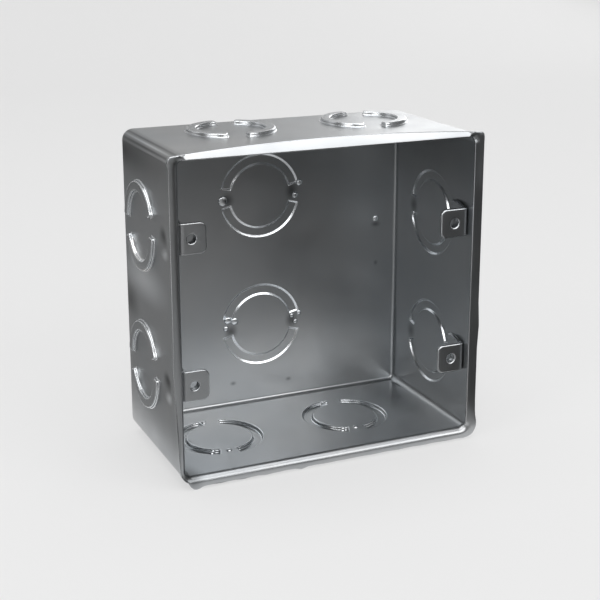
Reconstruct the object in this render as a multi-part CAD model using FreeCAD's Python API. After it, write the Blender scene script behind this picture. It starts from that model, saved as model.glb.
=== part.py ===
import FreeCAD, Part
import math
import os

# A square pressed-steel back box for wiring accessories, open at the front.
# The walls are one drawn sheet. Each wall has two double knockouts, and so has the back.
# Four bent lugs with tapped holes are welded to the left and right walls behind the rim.
# Millimetres. X is to the right, Y goes into the box from its open front, Z is up.

V = FreeCAD.Vector

# The box, measured outside its walls.
box_width = 102.0
box_height = 102.0
box_depth = 54.0
sheet = 1.6
edge_round = 3.7
back_round = 2.8

# The rim turns outwards in a short lip that was trimmed by hand.
lip_reach = 1.8
lip_bend = 0.8
lip_rear_fill = 0.5
ear_round = 4.0
ear_blend = 8.0
low_ear = 0.8
high_ear = 0.05
crown_end = 50.5
crown_corner = 1.2

# One double knockout: an outer ring pushed out of the wall, round a disc that was pushed back.
ring_radius = 14.3
disc_radius = 11.1
ring_push = 1.2
tie_width = 6.4
knockout_border = 1.0

# Where the knockouts sit: spacing of each pair, its offset from mid-wall, its depth from the rim.
knockout_spacing = 46.0
top_spacing = 47.3
top_offset = 3.8
top_inset = 35.2
top_tie_turn = -11.0
bottom_offset = -5.7
bottom_inset = 27.2
bottom_tie_turn = 5.5
right_offset = -3.7
right_inset = 26.6
left_offset = 0.1
left_inset = 34.1
left_tie_turn = 10.0
back_offset_x = -3.1
back_offset_z = 1.7

# The welded lugs.
lug_sheet = 1.5
lug_spacing = 46.0
right_lug_offset = -1.75
left_lug_offset = 2.5
lug_set_back = 2.4
right_tab_reach = 10.2
left_tab_reach = 8.8
tab_height = 9.6
tab_corner = 2.0
lug_bend = 0.4
leaf_length = 7.0
leaf_height = 11.6
leaf_taper = 3.2
right_screw_from_wall = 5.2
left_screw_from_wall = 4.1
screw_radius = 1.45
collar_radius = 2.1
collar_length = 1.5

# Round marks that the weld left outside.
weld_mark_radius = 4.5
weld_mark_depth = 0.45
weld_mark_inset = 11.5
weld_mark_drop = 2.9

# Sizes that follow from the ones above.
half_width = box_width / 2
mid_height = box_height / 2
shift_back = -(box_depth + ring_push) / 2
shift_up = lip_reach + low_ear
tiny = 0.01


def tray(inset, round_edge, round_back, front):
    """A block with rounded long edges and a rounded back, inset from the outside of the box."""
    size = V(box_width - 2 * inset, box_depth - inset - front, box_height - 2 * inset)
    block = Part.makeBox(size.x, size.y, size.z, V(inset - half_width, front, inset))
    long_edges = [e for e in block.Edges if e.BoundBox.YLength > size.y / 2]
    block = block.makeFillet(round_edge, long_edges)
    rear = [e for e in block.Edges if e.BoundBox.YMin > box_depth - inset - tiny]
    return block.makeFillet(round_back, rear)


def ear_corner(side_x, side_z, corner_x, corner_z, ear):
    """Edges of one lip corner, from its upright side round to its level side, and both ends."""
    centre = (corner_x + ear - ear_round, corner_z + ear - ear_round)
    reach = ear_blend + ear_round
    run = math.sqrt(reach ** 2 - (reach - ear) ** 2)
    turn = math.atan2(run, reach - ear)

    def place(x, z):
        return V(side_x * x, 0, mid_height + side_z * z)

    def on_ear(angle):
        return place(centre[0] + ear_round * math.cos(angle), centre[1] + ear_round * math.sin(angle))

    def beside(angle):
        return place(corner_x + ear_blend - ear_blend * math.cos(angle),
                     centre[1] - run + ear_blend * math.sin(angle))

    def above(angle):
        return place(centre[0] - run + ear_blend * math.sin(angle),
                     corner_z + ear_blend - ear_blend * math.cos(angle))

    low = beside(0)
    high = above(0)
    arcs = [
        Part.Arc(low, beside(turn / 2), on_ear(-turn)).toShape(),
        Part.Arc(on_ear(-turn), on_ear(math.pi / 4), on_ear(math.pi / 2 + turn)).toShape(),
        Part.Arc(on_ear(math.pi / 2 + turn), above(turn / 2), high).toShape(),
    ]
    return arcs, low, high


def lip_plate():
    """The flat of the lip with its four slightly eared corners."""
    lip_x = half_width + lip_reach
    lip_z = mid_height + lip_reach
    edges = []
    ends = {}
    for side_x in (1, -1):
        for side_z, ear in ((1, high_ear), (-1, low_ear)):
            arcs, upright, level = ear_corner(side_x, side_z, lip_x, lip_z, ear)
            edges += arcs
            ends[(side_x, side_z)] = (upright, level)
    for side in (1, -1):
        edges.append(Part.makeLine(ends[(side, 1)][0], ends[(side, -1)][0]))
        edges.append(Part.makeLine(ends[(1, side)][1], ends[(-1, side)][1]))
    outline = Part.Wire(Part.__sortEdges__(edges))
    return Part.Face(outline).extrude(V(0, sheet, 0))


def edge_loop(shape, y, outside):
    """Edges that lie at depth y, either beyond the box's walls or within them."""
    found = []
    for edge in shape.Edges:
        box = edge.BoundBox
        if abs(box.YMin - y) > tiny or abs(box.YMax - y) > tiny:
            continue
        beyond_x = max(abs(box.XMin), abs(box.XMax)) > half_width + tiny
        beyond_z = max(mid_height - box.ZMin, box.ZMax - mid_height) > mid_height + tiny
        if (beyond_x or beyond_z) == outside:
            found.append(edge)
    return found


def above_crown():
    """Everything above the top lip's low crown, which fades out at both upper corners."""
    radius = (crown_end ** 2 + lip_reach ** 2) / (2 * lip_reach)
    rear = sheet + 2 * lip_rear_fill
    block = Part.makeBox(2 * box_width, 2 * rear, box_height, V(-box_width, -rear, mid_height))
    low = V(0, -2 * rear, box_height + lip_reach - radius)
    return block.cut(Part.makeCylinder(radius, 4 * rear, low, V(0, 1, 0)))


def crowned(shell):
    """The shell with its top lip trimmed to the crown and the two new corners rounded."""
    shell = shell.cut(above_crown())
    corners = []
    for edge in shell.Edges:
        box = edge.BoundBox
        across = max(abs(box.XMin), abs(box.XMax))
        flat = max(box.XLength, box.ZLength) < tiny
        if flat and across > half_width + tiny and box.ZMin > box_height - edge_round:
            corners.append(edge)
    return shell.makeFillet(crown_corner, corners)


def plain_shell():
    """Walls, back and outward lip, before the knockouts."""
    shell = tray(0, edge_round, back_round, 0).fuse(lip_plate()).removeSplitter()
    shell = shell.makeChamfer(lip_rear_fill, edge_loop(shell, sheet, False))
    shell = shell.cut(tray(sheet, edge_round - sheet, back_round - sheet, -1))
    return crowned(shell.makeFillet(lip_bend + sheet, edge_loop(shell, 0, False)))


def half_ring(low, high):
    """The half ring between the two ties, from one height to another."""
    start = math.degrees(math.asin(tie_width / (ring_radius + disc_radius)))
    points = [V(disc_radius, 0, low), V(ring_radius, 0, low),
              V(ring_radius, 0, high), V(disc_radius, 0, high)]
    face = Part.Face(Part.makePolygon(points + points[:1]))
    face.rotate(V(0, 0, 0), V(0, 0, 1), start)
    return face.revolve(V(0, 0, 0), V(0, 0, 1), 180 - 2 * start)


def turned(shape, degrees):
    copy = shape.copy()
    copy.rotate(V(0, 0, 0), V(0, 0, 1), degrees)
    return copy


def knockout():
    """One double knockout in its own frame: outwards is +Z, the ties lie along X."""
    plug = Part.makeCylinder(ring_radius + knockout_border, sheet, V(0, 0, -sheet))
    recess = half_ring(-sheet - tiny, ring_push - sheet)
    ring = half_ring(0, ring_push)
    plug = plug.cut(Part.makeCompound([recess, turned(recess, 180)]))
    return plug.fuse([ring, turned(ring, 180)]).removeSplitter()


def placed(shape, centre, tie, outward):
    """A copy of shape with its X along tie and its Z along outward, standing at centre."""
    across = outward.cross(tie)
    frame = FreeCAD.Matrix(tie.x, across.x, outward.x, centre.x,
                           tie.y, across.y, outward.y, centre.y,
                           tie.z, across.z, outward.z, centre.z,
                           0, 0, 0, 1)
    copy = shape.copy()
    copy.Placement = FreeCAD.Placement(frame)
    return copy


def swung(tie, outward, degrees):
    """The tie direction, swung in its wall by some degrees."""
    angle = math.radians(degrees)
    return tie * math.cos(angle) + outward.cross(tie) * math.sin(angle)


def knockout_places():
    """Centre on the wall's outside, tie direction and outward direction of all ten knockouts."""
    places = []
    inwards = V(0, 1, 0)
    top, bottom, right, left = V(0, 0, 1), V(0, 0, -1), V(1, 0, 0), V(-1, 0, 0)
    for way in (-0.5, 0.5):
        step = way * knockout_spacing
        top_x = top_offset + way * top_spacing
        tie = swung(inwards, top, top_tie_turn)
        places.append((V(top_x, top_inset, box_height), tie, top))
        tie = swung(inwards, bottom, bottom_tie_turn)
        places.append((V(bottom_offset + step, bottom_inset, 0), tie, bottom))
        right_z = mid_height + right_offset + step
        places.append((V(half_width, right_inset, right_z), inwards, right))
        left_z = mid_height + left_offset + step
        tie = swung(inwards, left, left_tie_turn)
        places.append((V(-half_width, left_inset, left_z), tie, left))
        back_z = mid_height + back_offset_z + step
        places.append((V(back_offset_x, box_depth, back_z), right, inwards))
    return places


def lug_heights(offset):
    return [mid_height + offset - lug_spacing / 2, mid_height + offset + lug_spacing / 2]


def weld_mark(side, z):
    """A shallow round dish in the outside of a side wall."""
    dish = (weld_mark_radius ** 2 + weld_mark_depth ** 2) / (2 * weld_mark_depth)
    ball = Part.makeSphere(dish, V(side * (half_width + dish - weld_mark_depth), weld_mark_inset, z))
    wall = Part.makeBox(box_width, box_depth, box_height, V(-half_width, 0, 0))
    return ball.common(wall)


def weld_marks():
    """The marks of the welds at the ends of all four lugs."""
    left = [weld_mark(-1, z - weld_mark_drop) for z in lug_heights(left_lug_offset)]
    right = [weld_mark(1, z - weld_mark_drop) for z in lug_heights(right_lug_offset)]
    return left + right


def box_body():
    shell = plain_shell()
    hole = Part.makeCylinder(ring_radius + knockout_border, 2 * sheet, V(0, 0, -1.5 * sheet))
    plug = knockout()
    places = knockout_places()
    shell = shell.cut(Part.makeCompound([placed(hole, *place) for place in places]))
    shell = shell.fuse([placed(plug, *place) for place in places])
    shell = shell.cut(weld_marks())
    return shell.removeSplitter()


def bent_strip(tab_reach):
    """Lug section seen from above, at the origin: leaf along +Y, tab along -X, bend at (0, 0)."""
    outer = lug_bend + lug_sheet
    half = math.sqrt(0.5)
    bend_mid_out = V(outer * half - outer, outer - outer * half, 0)
    bend_mid_in = V(lug_bend * half - outer, outer - lug_bend * half, 0)
    tip = V(-tab_reach, 0, 0)
    tip_back = V(-tab_reach, lug_sheet, 0)
    end = V(0, leaf_length + outer, 0)
    end_in = V(-lug_sheet, leaf_length + outer, 0)
    edges = [
        Part.makeLine(tip, V(-outer, 0, 0)),
        Part.Arc(V(-outer, 0, 0), bend_mid_out, V(0, outer, 0)).toShape(),
        Part.makeLine(V(0, outer, 0), end),
        Part.makeLine(end, end_in),
        Part.makeLine(end_in, V(-lug_sheet, outer, 0)),
        Part.Arc(V(-lug_sheet, outer, 0), bend_mid_in, V(-outer, lug_sheet, 0)).toShape(),
        Part.makeLine(V(-outer, lug_sheet, 0), tip_back),
        Part.makeLine(tip_back, tip),
    ]
    return Part.Face(Part.Wire(edges))


def leaf_trim():
    """The side view that the lug is trimmed to: narrow at the tab, widening along the leaf."""
    narrow = tab_height / 2
    wide = leaf_height / 2
    start = lug_bend + lug_sheet
    end = start + leaf_length
    taper = start + leaf_taper
    side = [(-1, -narrow), (start, -narrow), (taper, -wide), (end, -wide),
            (end, wide), (taper, wide), (start, narrow), (-1, narrow)]
    reach = 2 * right_tab_reach
    points = [V(-reach, y, z) for y, z in side]
    return Part.Face(Part.makePolygon(points + points[:1])).extrude(V(2 * reach, 0, 0))


def lug(tab_reach, screw_from_wall):
    """One lug for the right wall, with the face of its leaf on the plane X = 0."""
    body = bent_strip(tab_reach).extrude(V(0, 0, leaf_height))
    body.translate(V(0, 0, -leaf_height / 2))
    body = body.common(leaf_trim())
    tip = [e for e in body.Edges
           if e.BoundBox.XMax < tiny - tab_reach and e.BoundBox.YLength > lug_sheet / 2]
    body = body.makeFillet(tab_corner, tip)
    front = V(0, 1, 0)
    screw = V(-screw_from_wall, 0, 0)
    body = body.fuse(Part.makeCylinder(collar_radius, lug_sheet + collar_length, screw, front))
    bore = Part.makeCylinder(screw_radius, lug_sheet + collar_length, screw, front)
    return body.cut(bore).removeSplitter()


def right_lug(z):
    shape = lug(right_tab_reach, right_screw_from_wall)
    shape.translate(V(half_width - sheet, lug_set_back, z))
    return shape


def left_lug(z):
    shape = lug(left_tab_reach, left_screw_from_wall).mirror(V(0, 0, 0), V(1, 0, 0))
    shape.translate(V(sheet - half_width, lug_set_back, z))
    return shape


def save(shape, node):
    shape.translate(V(0, shift_back, shift_up))
    shape.exportStep("parts/" + node + ".step")
    print(node, shape.isValid(), len(shape.Solids), round(shape.Volume, 1))


os.makedirs("parts", exist_ok=True)
save(box_body(), "box_body")
right_low, right_high = lug_heights(right_lug_offset)
left_low, left_high = lug_heights(left_lug_offset)
save(right_lug(right_high), "lug_right_upper")
save(right_lug(right_low), "lug_right_lower")
save(left_lug(left_high), "lug_left_upper")
save(left_lug(left_low), "lug_left_lower")
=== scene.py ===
# %% [markdown]
# # A pressed-steel back box, dressed for its picture
#
# The real thing is a square box of bright zinc-coated sheet that is buried in a wall.
# Cable comes in through the round knockouts, and a switch or socket is screwed to the four lugs.
# Its whole charm is metal: flat walls that hold soft reflections, and small pressed edges that
# catch sharp ones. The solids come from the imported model, so this lesson is about the light,
# the finish, and the small marks that the press and the welder leave.

import math

import bmesh
import bpy
from mathutils import Matrix, Vector


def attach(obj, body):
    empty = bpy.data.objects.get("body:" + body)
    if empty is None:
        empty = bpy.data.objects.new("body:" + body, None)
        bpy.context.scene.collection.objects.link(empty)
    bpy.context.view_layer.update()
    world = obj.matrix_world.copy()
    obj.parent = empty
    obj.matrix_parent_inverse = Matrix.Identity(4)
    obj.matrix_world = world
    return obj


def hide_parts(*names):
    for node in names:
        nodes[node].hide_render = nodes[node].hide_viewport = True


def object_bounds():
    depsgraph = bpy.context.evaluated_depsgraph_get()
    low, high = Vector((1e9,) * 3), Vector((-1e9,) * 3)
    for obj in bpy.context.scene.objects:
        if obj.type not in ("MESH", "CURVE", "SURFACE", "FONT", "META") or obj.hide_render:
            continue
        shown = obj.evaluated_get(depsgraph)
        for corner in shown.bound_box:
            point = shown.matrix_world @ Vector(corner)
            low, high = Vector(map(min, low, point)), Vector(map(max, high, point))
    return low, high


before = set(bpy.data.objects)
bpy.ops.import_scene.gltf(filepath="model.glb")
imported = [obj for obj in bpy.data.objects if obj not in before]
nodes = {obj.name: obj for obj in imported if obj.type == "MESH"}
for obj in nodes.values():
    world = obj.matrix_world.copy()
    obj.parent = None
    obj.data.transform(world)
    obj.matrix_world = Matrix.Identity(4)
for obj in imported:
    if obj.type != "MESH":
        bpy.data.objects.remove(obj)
cad_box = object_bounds()
print("nodes:", sorted(nodes))
print("box in mm:", [[round(1000 * c, 1) for c in corner] for corner in cad_box])

# %% [markdown]
# ## The sizes that this script needs again
#
# The solids already have their sizes. A few are repeated here, because small marks have to land
# on the walls: the sheet's thickness, the place of each knockout's middle on the outside of its
# wall, in millimetres, and the turn of its ties in degrees.
# X is to the right, Y goes into the box, and Z is up from the floor.

# %% Knockouts
MM = 0.001
SHEET = 1.6 * MM
LOOKS_OUT = {
    "left": Vector((-1, 0, 0)), "right": Vector((1, 0, 0)),
    "bottom": Vector((0, 0, -1)), "top": Vector((0, 0, 1)), "back": Vector((0, 1, 0)),
}
KNOCKOUTS = {
    "top": [(-19.85, 7.6, 104.6), (27.45, 7.6, 104.6)],
    "bottom": [(-28.7, -0.4, 2.6), (17.3, -0.4, 2.6)],
    "right": [(51.0, -1.0, 26.9), (51.0, -1.0, 72.9)],
    "left": [(-51.0, 6.5, 30.7), (-51.0, 6.5, 76.7)],
    "back": [(-3.1, 26.4, 32.3), (-3.1, 26.4, 78.3)],
}
TIE_TURNS = {"top": -11.0, "bottom": 5.5, "right": 0.0, "left": 10.0, "back": 0.0}


def tie_run(wall):
    """The direction that a wall's ties lie in, turned about the way out of the wall."""
    level = Vector((1, 0, 0)) if wall == "back" else Vector((0, 1, 0))
    return Matrix.Rotation(math.radians(TIE_TURNS[wall]), 3, LOOKS_OUT[wall]) @ level


print("knockouts:", sum(len(places) for places in KNOCKOUTS.values()))

# %% [markdown]
# ## The camera
#
# The photograph was taken from the front left and a little above, with a fairly long lens, so
# the box keeps nearly parallel edges. The camera stands where a fit to the box's corners
# put it. Its three rows are the picture's right, down and forward directions.

# %% Camera
to_right = Vector((0.9132651, -0.4073638, -0.0012629))
to_down = Vector((-0.1085459, -0.2403574, -0.9645964))
to_front = Vector((0.3926381, 0.8810693, -0.2637277))
stand = Vector((-0.16663, -0.37568, 0.17372))

turn = Matrix((to_right, -to_down, -to_front)).transposed().to_4x4()
camera_data = bpy.data.cameras.new("camera")
camera_data.sensor_width = 36
camera_data.lens = 77.858
camera_data.shift_y = -0.0667
camera_data.clip_start = 0.01
camera = bpy.data.objects.new("camera", camera_data)
camera.matrix_world = Matrix.Translation(stand) @ turn
bpy.context.scene.collection.objects.link(camera)
bpy.context.scene.camera = camera
print("camera at", [round(c, 3) for c in camera.location])

# %% [markdown]
# ## Floor, air and light
#
# Bright metal has hardly any colour of its own: it shows what stands round it. So the studio
# is part of the finish. A pale floor sweeps up into a backdrop, and part of its tone is level,
# so the background stays even. The main light is a wide soft box in front, above the camera:
# it turns the rolled rims white. A second one behind on the right gives the top wall its slope
# from grey to near white, a third stands front left, and a fourth hangs overhead.
#
# Dull cards lie on the floor in front and on the left, and one stands far behind. Only
# reflections find them. Those in front keep the inside dark, and the others tone down the
# outer walls.

# %% Floor
FLOOR_SIDE, FLOOR_FRONT, FLOOR_BACK = 3.0, -3.0, 0.9
SWEEP_RADIUS, BACKDROP_RISE = 0.5, 1.6


def colour(level, tint=(1, 1, 1)):
    return tuple(level * t for t in tint) + (1,)


build = bmesh.new()
near = [build.verts.new((x, FLOOR_FRONT, 0)) for x in (-FLOOR_SIDE, FLOOR_SIDE)]
edge = build.edges.new(near)
flat = bmesh.ops.extrude_edge_only(build, edges=[edge])
far = [v for v in flat["geom"] if isinstance(v, bmesh.types.BMVert)]
bmesh.ops.translate(build, verts=far, vec=(0, FLOOR_BACK - FLOOR_FRONT, 0))
bend_edge = [e for e in flat["geom"] if isinstance(e, bmesh.types.BMEdge)]
bent = bmesh.ops.spin(build, geom=bend_edge, cent=(0, FLOOR_BACK, SWEEP_RADIUS),
                      axis=(1, 0, 0), angle=math.radians(90), steps=24, use_duplicate=False)
top_edge = [e for e in bent["geom_last"] if isinstance(e, bmesh.types.BMEdge)]
rise = bmesh.ops.extrude_edge_only(build, edges=top_edge)
high = [v for v in rise["geom"] if isinstance(v, bmesh.types.BMVert)]
bmesh.ops.translate(build, verts=high, vec=(0, 0, BACKDROP_RISE))
bmesh.ops.recalc_face_normals(build, faces=build.faces)
floor_mesh = bpy.data.meshes.new("floor")
build.to_mesh(floor_mesh)
build.free()
for face in floor_mesh.polygons:
    face.use_smooth = True
floor = bpy.data.objects.new("floor", floor_mesh)
bpy.context.scene.collection.objects.link(floor)

PALE = 0.81
LEVEL_SHARE = 0.7
paint = bpy.data.materials.new("floor_paint")
paint.use_nodes = True
tree = paint.node_tree
shade = tree.nodes["Principled BSDF"]
shade.inputs["Base Color"].default_value = colour(PALE)
shade.inputs["Roughness"].default_value = 0.9
shade.inputs["Specular IOR Level"].default_value = 0.1
ray = tree.nodes.new("ShaderNodeLightPath")
seen = ray.outputs["Is Camera Ray"]
for kind in ("Is Glossy Ray", "Is Transmission Ray"):
    either = tree.nodes.new("ShaderNodeMath")
    either.operation = "MAXIMUM"
    tree.links.new(seen, either.inputs[0])
    tree.links.new(ray.outputs[kind], either.inputs[1])
    seen = either.outputs["Value"]
part_level = tree.nodes.new("ShaderNodeMath")
part_level.operation = "MULTIPLY"
part_level.inputs[1].default_value = LEVEL_SHARE
tree.links.new(seen, part_level.inputs[0])
level_tone = tree.nodes.new("ShaderNodeEmission")
level_tone.inputs["Color"].default_value = colour(PALE)
blend = tree.nodes.new("ShaderNodeMixShader")
tree.links.new(part_level.outputs["Value"], blend.inputs["Fac"])
tree.links.new(shade.outputs["BSDF"], blend.inputs[1])
tree.links.new(level_tone.outputs["Emission"], blend.inputs[2])
tree.links.new(blend.outputs["Shader"], tree.nodes["Material Output"].inputs["Surface"])
floor_mesh.materials.append(paint)
print("floor faces:", len(floor_mesh.polygons))

# %% Dull cards, for the reflections
def felt(name, left_level, right_level, left_x, right_x):
    """A dull dark paint that changes from left to right."""
    material = bpy.data.materials.new(name)
    material.use_nodes = True
    tree = material.node_tree
    shade = tree.nodes["Principled BSDF"]
    shade.inputs["Roughness"].default_value = 1.0
    shade.inputs["Specular IOR Level"].default_value = 0.0
    spot = tree.nodes.new("ShaderNodeTexCoord")
    axes = tree.nodes.new("ShaderNodeSeparateXYZ")
    tree.links.new(spot.outputs["Object"], axes.inputs["Vector"])
    fade = tree.nodes.new("ShaderNodeMapRange")
    fade.inputs["From Min"].default_value = left_x
    fade.inputs["From Max"].default_value = right_x
    tree.links.new(axes.outputs["X"], fade.inputs["Value"])
    dye = tree.nodes.new("ShaderNodeValToRGB")
    dye.color_ramp.elements[0].color = colour(left_level)
    dye.color_ramp.elements[1].color = colour(right_level)
    tree.links.new(fade.outputs["Result"], dye.inputs["Fac"])
    tree.links.new(dye.outputs["Color"], shade.inputs["Base Color"])
    return material


def card(name, left, right, start, reach, material):
    """A flat card that only reflections find: an edge at a start, drawn out by a reach."""
    build = bmesh.new()
    first = [build.verts.new((x, start[0], start[1])) for x in (left, right)]
    drawn = bmesh.ops.extrude_edge_only(build, edges=[build.edges.new(first)])
    moved = [v for v in drawn["geom"] if isinstance(v, bmesh.types.BMVert)]
    bmesh.ops.translate(build, verts=moved, vec=(0, reach[0], reach[1]))
    bmesh.ops.recalc_face_normals(build, faces=build.faces)
    mesh = bpy.data.meshes.new(name)
    build.to_mesh(mesh)
    build.free()
    mesh.materials.append(material)
    thing = bpy.data.objects.new(name, mesh)
    bpy.context.scene.collection.objects.link(thing)
    thing.visible_camera = False
    thing.visible_shadow = False
    thing.visible_diffuse = False


card("front_far", -0.14, 1.4, (-0.14, 0.001), (-1.46, 0),
     felt("front_felt", 0.26, 0.02, -0.05, 0.18))
card("front_left", -0.8, -0.14, (-0.26, 0.001), (-1.34, 0),
     felt("side_felt", 0.14, 0.14, -1, 0))
card("front_near", -0.14, 0.062, (-0.035, 0.001), (-0.105, 0),
     felt("near_felt", 0.38, 0.30, 0, 0.06))
card("right_near", 0.062, 0.50, (-0.029, 0.001), (-0.111, 0),
     felt("right_felt", 0.03, 0.03, 0, 1))
card("left_near", -1.2, -0.06, (-0.10, 0.001), (0.52, 0),
     felt("left_felt", 0.26, 0.26, -1, 0))
card("left_far", -1.2, -0.13, (0.42, 0.001), (0.46, 0),
     felt("far_felt", 0.05, 0.05, -1, 0))
card("back", -0.9, 0.50, (0.95, 0.01), (0, 0.9),
     felt("back_felt", 0.42, 0.80, 0.15, 0.5))

# %% Air and lamps
scene = bpy.context.scene
scene.view_settings.view_transform = "Standard"
world = bpy.data.worlds.new("air")
scene.world = world
world.use_nodes = True
world.node_tree.nodes["Background"].inputs["Color"].default_value = colour(0.16)
world.node_tree.nodes["Background"].inputs["Strength"].default_value = 1.0


def softbox(name, place, target, size, level):
    """An area lamp whose face has the given brightness, whatever its size."""
    data = bpy.data.lights.new(name, "AREA")
    data.shape = "RECTANGLE"
    data.size, data.size_y = size
    data.energy = level * math.pi * size[0] * size[1]
    lamp = bpy.data.objects.new(name, data)
    lamp.location = place
    lamp.rotation_euler = (Vector(target) - Vector(place)).to_track_quat("-Z", "Y").to_euler()
    lamp.visible_camera = False
    scene.collection.objects.link(lamp)


softbox("front_top", (0.10, -1.10, 0.76), (0, 0, 0.05), (2.3, 0.6), 2.6)
softbox("front_left", (-1.25, -0.45, 0.60), (0, 0, 0.05), (0.6, 0.8), 2.4)
softbox("back_right", (0.95, 1.05, 0.36), (0, 0, 0.1), (0.9, 0.5), 1.3)
softbox("overhead", (0.0, -0.2, 1.6), (0, -0.2, 0), (1.8, 1.8), 2.0)

# %% [markdown]
# ## Zinc-coated steel
#
# The sheet is metal with a thin bright coat. It isn't a mirror: rolling leaves a very fine
# grain, so broad faces blur what they show, and pressing leaves it a little uneven. Noise in
# three sizes does that: a large slow one for clouds in the coat, a middle one for uneven
# gloss, and a fine one for the grain. The rolled edges are a little glossier, and their colour
# is made brighter as a painted highlight; those stamped round the knockouts, and the beads,
# are painted brightest.
#
# The spots paint light and shade into that colour. Each is a ball or a long egg, given by its
# centre and radii in millimetres and by how dark it is in the middle. A negative darkness makes
# it lighter. Small ones paint shade round the ties and the shade and highlight of the welds, and
# darken the punch marks. Long ones paint the reflections of the band and the streaks of the
# upper left bend, and broad ones paint a little shade and light on whole walls.

# %% Painted light and shade
PAINTED_LIGHT_SPOTS = [
    # Painted shade round the beads at the ties of the back, right and bottom knockouts.
    ((-15.0, 24.8, 77.6), (3.2, 3.2, 3.2), 0.60), ((8.6, 24.8, 79.0), (3.0, 3.0, 4.6), 0.60),
    ((-14.4, 24.8, 31.0), (3.2, 3.2, 3.4), 0.60), ((8.4, 24.8, 32.4), (3.0, 3.0, 4.4), 0.60),
    ((49.4, 11.5, 73.0), (2.5, 3.5, 4.0), 0.45), ((49.4, 11.5, 27.0), (2.5, 3.5, 4.0), 0.45),
    ((-40.5, -0.4, 4.2), (3.0, 3.0, 2.5), 0.45), ((30.0, 1.2, 4.2), (3.0, 3.0, 2.5), 0.45),
    # Darker in the low left corner; painted reflections under and along the upper left bend.
    ((-47.5, -27.0, 4.5), (5.0, 14.0, 6.0), 0.55),
    ((-52.0, 36.0, 98.5), (8.0, 62.0, 9.0), 0.85),
    ((-50.7, 2.0, 102.4), (0.8, 60.0, 0.8), 0.65),
    ((-50.0, 2.0, 103.5), (0.6, 50.0, 0.6), -0.75),
    ((-49.1, 2.0, 104.2), (0.7, 60.0, 0.7), 0.55),
    # The left wall's painted reflections: a darker rear edge, two light patches, and a dark one
    # below them.
    ((-51.0, 30.0, 60.0), (3.0, 9.0, 60.0), 0.30),
    ((-51.0, 14.0, 67.0), (3.0, 10.0, 7.0), -0.60),
    ((-51.0, 6.0, 59.5), (3.0, 30.0, 9.0), -0.95),
    ((-51.0, 22.0, 48.5), (3.0, 14.0, 8.0), 0.60),
    # The left wall's weld marks: painted shade above and a painted highlight below.
    ((-51.0, -15.6, 78.2), (3.0, 4.4, 4.2), 0.75), ((-51.0, -16.6, 72.8), (3.0, 4.2, 2.4), -1.0),
    ((-51.0, -15.6, 32.2), (3.0, 4.4, 4.2), 0.75), ((-51.0, -16.6, 26.8), (3.0, 4.2, 2.4), -1.0),
    # Small marks on the back: two darker punch marks, a darker mark, and painted shade under a
    # raised mark.
    ((-13.9, 24.8, 11.8), (1.6, 2.0, 1.1), 0.50), ((7.2, 24.8, 10.4), (1.6, 2.0, 1.1), 0.50),
    ((41.6, 24.8, 49.6), (1.2, 2.0, 1.4), 0.40), ((41.4, 24.8, 63.9), (2.6, 2.0, 1.5), 0.45),
    # Broad painted light and shade: darker on the bottom, at the top of the right wall and on
    # the left of the top, lighter on the lower back.
    ((41.0, 8.0, 4.2), (11.0, 26.0, 4.0), 0.40), ((0.0, -5.0, 4.2), (85.0, 60.0, 6.0), 0.16),
    ((49.4, 2.0, 100.0), (2.0, 60.0, 30.0), 0.40),
    ((-26.0, 14.0, 104.6), (30.0, 40.0, 2.0), 0.16),
    ((-8.0, 24.8, 20.0), (50.0, 3.0, 30.0), -0.12),
]


def painted_light_and_shade(tree, place, paint):
    """The paint, with painted shade or painted light near each of the spots."""
    for centre, radii, depth in PAINTED_LIGHT_SPOTS:
        near = tree.nodes.new("ShaderNodeMapping")
        near.vector_type = "TEXTURE"
        near.inputs["Location"].default_value = [c * MM for c in centre]
        near.inputs["Scale"].default_value = [r * MM for r in radii]
        tree.links.new(place, near.inputs["Vector"])
        ball = tree.nodes.new("ShaderNodeTexGradient")
        ball.gradient_type = "SPHERICAL"
        tree.links.new(near.outputs["Vector"], ball.inputs["Vector"])
        clean = tree.nodes.new("ShaderNodeMapRange")
        clean.interpolation_type = "SMOOTHSTEP"
        clean.inputs["To Min"].default_value = 1.0
        clean.inputs["To Max"].default_value = 1.0 - depth
        tree.links.new(ball.outputs["Fac"], clean.inputs["Value"])
        scaled = tree.nodes.new("ShaderNodeVectorMath")
        scaled.operation = "SCALE"
        tree.links.new(paint, scaled.inputs[0])
        tree.links.new(clean.outputs["Result"], scaled.inputs["Scale"])
        paint = scaled.outputs["Vector"]
    return paint


print("spots:", len(PAINTED_LIGHT_SPOTS))

# %% Steel
GLOSS_SPREAD = 0.035
GRAIN_STRETCH = 0.06
GRAIN_HEIGHT = 0.2 * MM
CLOUD_SCALE, GLOSS_SCALE, GRAIN_SCALE = 30, 90, 900
COOL, NEUTRAL = (0.955, 1.0, 1.04), (0.985, 1.0, 1.01)


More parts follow.
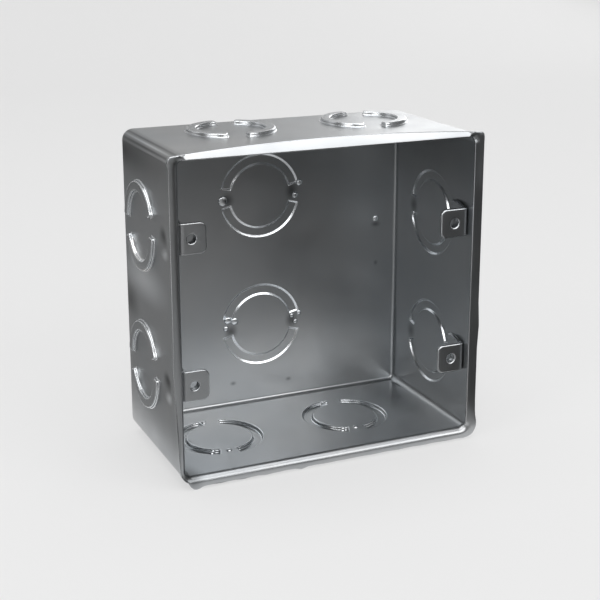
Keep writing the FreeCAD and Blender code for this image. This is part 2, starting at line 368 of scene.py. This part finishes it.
def steel(name, level, rough, clouds=0.06, grain=0.02):
    """A zinc coat of a given brightness and roughness, with its clouds, patches, grain and the
    spots' painted light and shade.
    """
    material = bpy.data.materials.new(name)
    material.use_nodes = True
    tree = material.node_tree
    add = tree.nodes.new
    link = tree.links.new
    metal = tree.nodes["Principled BSDF"]
    metal.inputs["Metallic"].default_value = 1.0
    place = add("ShaderNodeTexCoord")

    cloud = add("ShaderNodeTexNoise")
    cloud.inputs["Scale"].default_value = CLOUD_SCALE
    cloud.inputs["Detail"].default_value = 2
    link(place.outputs["Object"], cloud.inputs["Vector"])
    tone = add("ShaderNodeValToRGB")
    tone.color_ramp.elements[0].position = 0.25
    tone.color_ramp.elements[1].position = 0.75
    tone.color_ramp.elements[0].color = colour(level * (1 - clouds), COOL)
    tone.color_ramp.elements[1].color = colour(level * (1 + clouds), NEUTRAL)
    link(cloud.outputs["Fac"], tone.inputs["Fac"])
    # The spots' painted light and shade go into the base colour here.
    lit_and_shaded_tone = painted_light_and_shade(tree, place.outputs["Object"], tone.outputs["Color"])
    link(lit_and_shaded_tone, metal.inputs["Base Color"])

    patch = add("ShaderNodeTexNoise")
    patch.inputs["Scale"].default_value = GLOSS_SCALE
    patch.inputs["Detail"].default_value = 1
    link(place.outputs["Object"], patch.inputs["Vector"])
    gloss = add("ShaderNodeMapRange")
    gloss.inputs["From Min"].default_value = 0.2
    gloss.inputs["From Max"].default_value = 0.8
    gloss.inputs["To Min"].default_value = rough - GLOSS_SPREAD
    gloss.inputs["To Max"].default_value = rough + GLOSS_SPREAD
    link(patch.outputs["Fac"], gloss.inputs["Value"])
    link(gloss.outputs["Result"], metal.inputs["Roughness"])

    drawn = add("ShaderNodeMapping")
    drawn.inputs["Scale"].default_value = (1, 1, GRAIN_STRETCH)
    link(place.outputs["Object"], drawn.inputs["Vector"])
    fine = add("ShaderNodeTexNoise")
    fine.inputs["Scale"].default_value = GRAIN_SCALE
    fine.inputs["Detail"].default_value = 1
    link(drawn.outputs["Vector"], fine.inputs["Vector"])
    bump = add("ShaderNodeBump")
    bump.inputs["Strength"].default_value = grain
    bump.inputs["Distance"].default_value = GRAIN_HEIGHT
    link(fine.outputs["Fac"], bump.inputs["Height"])
    link(bump.outputs["Normal"], metal.inputs["Normal"])
    return material


zinc_sheet = steel("zinc_sheet", 0.48, 0.315)
# The edges' brighter colour is a painted highlight, on top of their gloss.
pressed_edge_highlight = steel("pressed_edge_highlight", 0.56, 0.22, clouds=0.03)
stamped_edge_highlight = steel("stamped_edge_highlight", 0.82, 0.22, clouds=0.03)
print("finishes:", [m.name for m in bpy.data.materials])

# %% [markdown]
# ## The box in its finished form
#
# No edge of a pressed sheet is sharp. The imported solids keep their edges plain, so each one is
# copied here: the loose triangles are joined, and a bevel rolls every edge that is sharper than
# a bend. The rolled faces take a brighter colour, a painted highlight, which draws the thin
# bright lines of the photograph.

# %% Tools for dressing a solid
JOIN_WITHIN = 0.004 * MM
# The pressed and stamped finishes paint highlights on the rolled faces.
FINISHES_AND_HIGHLIGHTS = (zinc_sheet, pressed_edge_highlight, stamped_edge_highlight)
PLAIN, PRESSED_HIGHLIGHT, STAMPED_HIGHLIGHT = range(3)
BROAD_FACES_LEAD = 90


def joined_copy(node):
    """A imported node's mesh as a bmesh whose triangles share their corners."""
    build = bmesh.new()
    build.from_mesh(nodes[node].data)
    bmesh.ops.remove_doubles(build, verts=build.verts, dist=JOIN_WITHIN)
    for face in build.faces:
        face.material_index = PLAIN
    return build


def sharp_edges(build, degrees, wanted=lambda middle: True):
    """The edges that turn by more than some degrees and whose middle is wanted."""
    found = []
    for edge in build.edges:
        if edge.is_manifold and edge.calc_face_angle() > math.radians(degrees):
            if wanted((edge.verts[0].co + edge.verts[1].co) / 2):
                found.append(edge)
    return found


def roll(build, edges, width, segments=3, finish=PRESSED_HIGHLIGHT):
    """Round the edges off and give the new faces a painted highlight: one segment is a plain
    chamfer.
    """
    made = bmesh.ops.bevel(build, geom=edges, offset=width, offset_type="OFFSET",
                           segments=segments, profile=0.5, affect="EDGES",
                           clamp_overlap=False, material=-1)
    for face in made["faces"]:
        face.material_index = finish


def dressed(build, name, node):
    """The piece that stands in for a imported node, made of a worked copy of it."""
    mesh = bpy.data.meshes.new(name)
    build.to_mesh(mesh)
    build.free()
    for material in FINISHES_AND_HIGHLIGHTS:
        mesh.materials.append(material)
    for face in mesh.polygons:
        face.use_smooth = True
    piece = bpy.data.objects.new(name, mesh)
    scene.collection.objects.link(piece)
    even = piece.modifiers.new("even", "WEIGHTED_NORMAL")
    even.weight = BROAD_FACES_LEAD
    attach(piece, "root")
    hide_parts(node)
    print(name, "triangles:", sum(len(p.vertices) - 2 for p in mesh.polygons))


# %% [markdown]
# ## The top and right rims
#
# The left and bottom lips roll into the box. The other two don't: their inner edge is crisp.
# The top one's face also leans back from there by nearly twenty degrees, so it looks up at the
# light and shows as one white band. The bend's rows of points are moved onto those two planes.
# Round the corners the change fades out.

# %% Draw out the top and right rims
BEND = 2.4 * MM
BEND_START, LIP_FRONT = -25.2 * MM, -27.6 * MM
CORNER_X, CORNER_RADIUS = 47.3 * MM, 2.1 * MM
HIGH_CORNER_Z, LOW_CORNER_Z = 100.9 * MM, 6.3 * MM
CREASE_TURN, CREASE_SLACK = math.radians(34.5), 0.02
LEAN = 1.15 / 3.4
FADE_TURN = math.radians(50)
HAIR = 0.01 * MM
ON_THE_BEND = 0.06 * MM
TOUCHING = 0.001 * MM


def smooth(value):
    """A share from 0 to 1 that starts and ends gently."""
    value = min(max(value, 0.0), 1.0)
    return value * value * (3 - 2 * value)


def drawn_out(place):
    """Where a point of the top or right bend, or of the lip's front there, goes."""
    if place.y > BEND_START:
        return place
    over = max(abs(place.x) - CORNER_X, 0.0)
    up = max(place.z - HIGH_CORNER_Z, 0.0)
    down = max(LOW_CORNER_Z - place.z, 0.0)
    out = math.hypot(over, up + down)
    past = out - CORNER_RADIUS
    if past < -HAIR:
        return place
    from_bend = math.hypot(place.y - BEND_START, min(past, BEND) - BEND)
    if abs(from_bend - BEND) > ON_THE_BEND:
        return place
    top_share = smooth(1 - math.atan2(over, up) / FADE_TURN) if up > 0 else 0.0
    right_share = 0.0
    if place.x > 0 and over > 0:
        right_share = smooth(1 - math.atan2(up + down, over) / FADE_TURN)
    lean = LEAN * top_share
    turned = math.atan2(BEND_START - place.y, BEND - past)
    if past >= BEND:
        new_past, new_y = past, LIP_FRONT + lean * past
    elif turned <= CREASE_TURN + CREASE_SLACK:
        new_past, new_y = 0.0, BEND_START - BEND * min(turned / CREASE_TURN, 1.0)
    else:
        new_past = BEND * (turned - CREASE_TURN) / (math.pi / 2 - CREASE_TURN)
        new_y = LIP_FRONT + lean * new_past
    stretch = (CORNER_RADIUS + new_past) / out
    moved = Vector((place.x, new_y, place.z))
    if over > 0:
        moved.x = math.copysign(CORNER_X + over * stretch, place.x)
    if up > 0:
        moved.z = HIGH_CORNER_Z + up * stretch
    if down > 0:
        moved.z = LOW_CORNER_Z - down * stretch
    return place.lerp(moved, max(top_share, right_share))


body = joined_copy("box_body")
count = 0
for vert in body.verts:
    target = drawn_out(vert.co.copy())
    if (target - vert.co).length > TOUCHING:
        vert.co = target
        count += 1
print("points of the rims moved:", count)

# %% [markdown]
# ## The lip's low corners
#
# The flange thins out down the left side and nearly vanishes round the low left corner. Just
# after that corner the bottom flange starts with a small lump. On the right the lump
# sits on the corner itself. A point of the flange moves in or out by the share that a short
# table gives for its place along the edge. The flange is cut across first, so that it can bend.
# Both tables give how far the flange stands out in millimetres, against the way along its edge
# from the corner: up the side is positive, and round the corner and along the bottom negative.
# The bottom flange also has a slight ripple.

# %% Shape the flange
LIP_BEHIND, FLANGE_START = -24.0 * MM, -25.3 * MM
SHAPED_FROM, SHAPED_TO = -45, 60
OUTLINE_FROM, OFF_THE_WALL = 1.4 * MM, 0.02 * MM
CUT_HEIGHTS = (10, 14, 19, 25, 32, 40, 48)
CUTS_ACROSS = [-44.6, -43.8, -42.9] + [-41 + 2.5 * n for n in range(34)]
LOW_PART_TOP = 9 * MM
RIPPLE, RIPPLE_SETTLE, RIPPLE_FROM = 0.05, 0.06, -10
SLOW_WAVE, FAST_WAVE, WAVE_SHIFT = 1.9, 4.3, 1.0
FLANGE_DEPTH = 1.8 * MM
WALL_X, WALL_Z, WALL_ROUND = 51.0 * MM, 2.6 * MM, 3.7 * MM
ARC = WALL_ROUND * math.pi / 2
LOW_LEFT = [(-14, 1.8), (-9.0, 1.8), (-8.4, 2.1), (-7.6, 2.55), (-6.6, 2.6), (-5.7, 2.3),
            (-5.0, 1.2), (-4.4, 0.45), (-2.5, 0.25), (0, 0.4), (6, 0.7), (20, 1.2),
            (38, 1.8), (60, 1.8)]
LOW_RIGHT = [(-14, 1.8), (-7.5, 1.8), (-5.8, 1.85), (-4.5, 2.2), (-2.9, 2.9), (-1.4, 2.8),
             (0, 2.45), (2, 2.05), (5, 1.8), (60, 1.8)]


def between(table, along):
    """The table's value at a place, straight between its rows."""
    if along <= table[0][0]:
        return table[0][1]
    for (a, low), (b, high) in zip(table, table[1:]):
        if along <= b:
            return low + (high - low) * (along - a) / (b - a)
    return table[-1][1]


def flange_place(spot):
    """Along the low corner's edge in mm, up the side being positive, and out from the wall."""
    over = abs(spot.x) - (WALL_X - WALL_ROUND)
    under = (WALL_Z + WALL_ROUND) - spot.z
    if under <= 0:
        return -under / MM, over - WALL_ROUND
    if over <= 0:
        return (over - ARC) / MM, under - WALL_ROUND
    turned = math.atan2(under, over) / (math.pi / 2)
    return -ARC / MM * turned, math.hypot(over, under) - WALL_ROUND


def lip_part(build):
    """The lip's faces with their edges and points."""
    faces = [f for f in build.faces if all(v.co.y < LIP_BEHIND for v in f.verts)]
    edges = {e for f in faces for e in f.edges}
    return faces + list(edges) + list({v for e in edges for v in e.verts})


def one_height(part):
    """The height of a point, or of the first point of an edge or a face."""
    return part.co.z if isinstance(part, bmesh.types.BMVert) else part.verts[0].co.z


for height in CUT_HEIGHTS:
    bmesh.ops.bisect_plane(body, geom=lip_part(body), dist=TOUCHING,
                           plane_co=(0, 0, height * MM), plane_no=(0, 0, 1))
for across in CUTS_ACROSS:
    low_part = [g for g in lip_part(body) if one_height(g) < LOW_PART_TOP]
    bmesh.ops.bisect_plane(body, geom=low_part, dist=TOUCHING,
                           plane_co=(across * MM, 0, 0), plane_no=(1, 0, 0))

flange = [v for v in body.verts if v.co.y < FLANGE_START]
outline = {-1: [], 1: []}
for vert in flange:
    along, out = flange_place(vert.co)
    on_the_front = vert.co.y < LIP_FRONT + 0.05 * MM
    if on_the_front and SHAPED_FROM < along < SHAPED_TO and out > OUTLINE_FROM:
        outline[-1 if vert.co.x < 0 else 1].append((along, out / MM))
for side, table in ((-1, LOW_LEFT), (1, LOW_RIGHT)):
    packed = sorted(outline[side])
    for vert in flange:
        if (vert.co.x < 0) != (side < 0):
            continue
        along, out = flange_place(vert.co)
        if out <= OFF_THE_WALL or along > SHAPED_TO:
            continue
        share = between(table, along) / between(packed, along)
        ripple = 0.0
        if along < RIPPLE_FROM:
            waves = math.sin(SLOW_WAVE * along) + math.sin(FAST_WAVE * along + WAVE_SHIFT)
            ripple = RIPPLE * waves - RIPPLE_SETTLE
        grow = out * (share - 1) + ripple * MM * out / FLANGE_DEPTH
        if along >= 0:
            vert.co.x += side * grow
        elif along <= -ARC / MM:
            vert.co.z -= grow
        else:
            turn_by = -along / (ARC / MM) * math.pi / 2
            vert.co.x += side * grow * math.cos(turn_by)
            vert.co.z -= grow * math.sin(turn_by)
print("flange points:", len(flange))

# %% [markdown]
# ## The steps round the knockouts
#
# In the solids a ring's step is upright. Seen from inside, those of the back and right walls
# should end in thin single lines of light, and only a shallow ramp gives that. So the
# inner face of these rings is brought halfway back to the wall and its edges are chamfered
# into ramps. In the back wall a little over half of that height is then left. The outside of
# the rings and the other walls' steps stay upright, with a wide roll. The weld marks on the
# right wall touch its rings, so their points are left out of all this.

# %% Ease the rings' steps
STEP_REACH, STEP_DEPTH = 15.5 * MM, 2 * SHEET
RING_FACE, ON_THE_FACE = -0.4 * MM, 0.004 * MM
WELD_MARKS = [(51.0, -16.1, 71.95), (51.0, -16.1, 25.95)]
WELD_REACH, WELD_DEPTH = 6.0 * MM, 0.5 * MM
HALFWAY = {"back": 0.50, "right": 0.50}
LEFT_IN_THE_END = {"back": 0.55, "right": 1.0}
RAMP, RAMP_JOIN = 0.58 * MM, 0.03 * MM
RAMP_TURN, RAMP_END_TURN, RAMP_ROLL = 40, 18, 0.09 * MM
STEP_TURN, STEP_ROLL = 60, 0.45 * MM


def from_knockout(place, wall, centre):
    """How far out of its wall a place is, and how far from a knockout's axis."""
    away = place - Vector(centre) * MM
    depth = away.dot(LOOKS_OUT[wall])
    return depth, (away - depth * LOOKS_OUT[wall]).length


def by_a_knockout(place):
    for wall, centres in KNOCKOUTS.items():
        for centre in centres:
            depth, reach = from_knockout(place, wall, centre)
            if abs(depth) < STEP_DEPTH and reach < STEP_REACH:
                return True
    return False


def by_a_weld(place):
    return any((place - Vector(mark) * MM).length < WELD_REACH for mark in WELD_MARKS)


def inner_push(place):
    """A ring's wall and push, for a place on the inner side of one that is eased, or None."""
    for wall in HALFWAY:
        for centre in KNOCKOUTS[wall]:
            depth, reach = from_knockout(place, wall, centre)
            off_the_face = abs(depth - RING_FACE) > ON_THE_FACE
            in_a_mark = depth > -WELD_DEPTH and off_the_face and by_a_weld(place)
            inside = -SHEET - HAIR < depth < RING_FACE + HAIR
            if reach < STEP_REACH and inside and not in_a_mark:
                return wall, depth + SHEET
    return None, 0.0


def lower_rings(shares):
    """Leave only a share of each eased ring's push, on its inner side."""
    for vert in body.verts:
        wall, push = inner_push(vert.co)
        if push > HAIR:
            vert.co -= LOOKS_OUT[wall] * push * (1 - shares[wall])


def on_a_ramp(place):
    return inner_push(place)[0] is not None


def on_an_upright_step(place):
    return by_a_knockout(place) and not on_a_ramp(place) and not by_a_weld(place)


lower_rings(HALFWAY)
ramp_edges = sharp_edges(body, RAMP_TURN, on_a_ramp)
print("ramp edges:", len(ramp_edges))
roll(body, ramp_edges, RAMP / 2, segments=1, finish=STAMPED_HIGHLIGHT)
bmesh.ops.remove_doubles(body, verts=body.verts, dist=RAMP_JOIN)
lower_rings(LEFT_IN_THE_END)
roll(body, sharp_edges(body, RAMP_END_TURN, on_a_ramp), RAMP_ROLL, segments=2, finish=STAMPED_HIGHLIGHT)
upright_steps = sharp_edges(body, STEP_TURN, on_an_upright_step)
print("upright step edges:", len(upright_steps))
roll(body, upright_steps, STEP_ROLL, finish=STAMPED_HIGHLIGHT)

# %% [markdown]
# ## The other edges
#
# The edges away from the knockouts get a narrow roll. Where two rolls meet, a point can end up
# slightly past the solids, so it is then brought back to the lip's front or the solids' top.

# %% Roll the body's other edges
EDGE_TURN, EDGE_ROLL = 32, 0.22 * MM
other_edges = sharp_edges(body, EDGE_TURN, lambda middle: not by_a_knockout(middle))
print("other edges:", len(other_edges))
roll(body, other_edges, EDGE_ROLL, segments=2)
for vert in body.verts:
    vert.co.y = max(vert.co.y, LIP_FRONT)
    vert.co.z = min(vert.co.z, cad_box[1][2])
dressed(body, "dressed_body", "box_body")

# %% Roll the lugs' edges
LUG_TURN, LUG_ROLLS = 40, {"left": 0.32 * MM, "right": 0.55 * MM}
for node in sorted(n for n in nodes if n.startswith("lug")):
    lug = joined_copy(node)
    roll(lug, sharp_edges(lug, LUG_TURN), LUG_ROLLS[node.split("_")[1]], segments=4)
    dressed(lug, "dressed_" + node, node)

# %% [markdown]
# ## Beads at the ties
#
# Each knockout hangs on two ties, and the tool stakes them with small round punches. From the
# open front they are raised beads with a point of light on each. A bead is a small ball,
# pressed almost flat and half sunk into the sheet. Each is given by its turn about the
# knockout's middle in degrees, and by its distance from there and its radius in millimetres.
# The last one of the upper back knockout is a mark of its own, far out to the right.

# %% Beads
BEAD_HEIGHT = 0.6 * MM
BEADS = {
    ("back", 1): [(347, 15.0, 1.2), (4, 13.0, 1.2), (177, 13.5, 1.8), (15.5, 46.2, 1.3)],
    ("back", 0): [(352, 11.8, 1.0), (350, 14.6, 1.0), (3, 13.0, 1.0), (193, 12.8, 1.4),
                  (193, 10.2, 1.4), (180, 13.2, 1.0)],
    ("right", 1): [(348, 13.0, 0.8), (205, 13.0, 0.8)],
    ("bottom", 0): [(351, 13.0, 0.9), (205, 12.0, 0.8), (205, 14.0, 0.8), (180, 12.0, 1.0)],
    ("bottom", 1): [(350, 13.0, 0.9), (203, 12.0, 0.8), (203, 14.0, 0.8), (182, 11.5, 1.0)],
}


def wall_frame(centre, across, outward):
    """A frame on a wall: X along the ties, Z out of the wall, at the knockout's centre."""
    side = outward.cross(across)
    turned = Matrix((across, side, outward)).transposed().to_4x4()
    return Matrix.Translation(Vector(centre) * MM) @ turned


def bead(build, frame_at, turned, away, radius):
    """One raised bead: a ball squeezed almost flat, half sunk into the wall's inner face."""
    made = bmesh.ops.create_uvsphere(build, u_segments=24, v_segments=12, radius=radius)
    squeeze = Matrix.Diagonal((1, 1, BEAD_HEIGHT / radius, 1))
    move = Matrix.Translation((away * math.cos(turned), away * math.sin(turned), -SHEET))
    bmesh.ops.transform(build, matrix=frame_at @ move @ squeeze, verts=made["verts"])


build = bmesh.new()
for (wall, which), spots in BEADS.items():
    here = wall_frame(KNOCKOUTS[wall][which], tie_run(wall), LOOKS_OUT[wall])
    for degrees, away, radius in spots:
        bead(build, here, math.radians(degrees), away * MM, radius * MM)
bmesh.ops.recalc_face_normals(build, faces=build.faces)
bead_mesh = bpy.data.meshes.new("tie_beads")
build.to_mesh(bead_mesh)
build.free()
# The beads take the stamped edges' paint, a painted highlight.
bead_mesh.materials.append(stamped_edge_highlight)
for face in bead_mesh.polygons:
    face.use_smooth = True
tie_beads = bpy.data.objects.new("tie_beads", bead_mesh)
scene.collection.objects.link(tie_beads)
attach(tie_beads, "root")
print("beads:", len(bead_mesh.polygons), "faces")
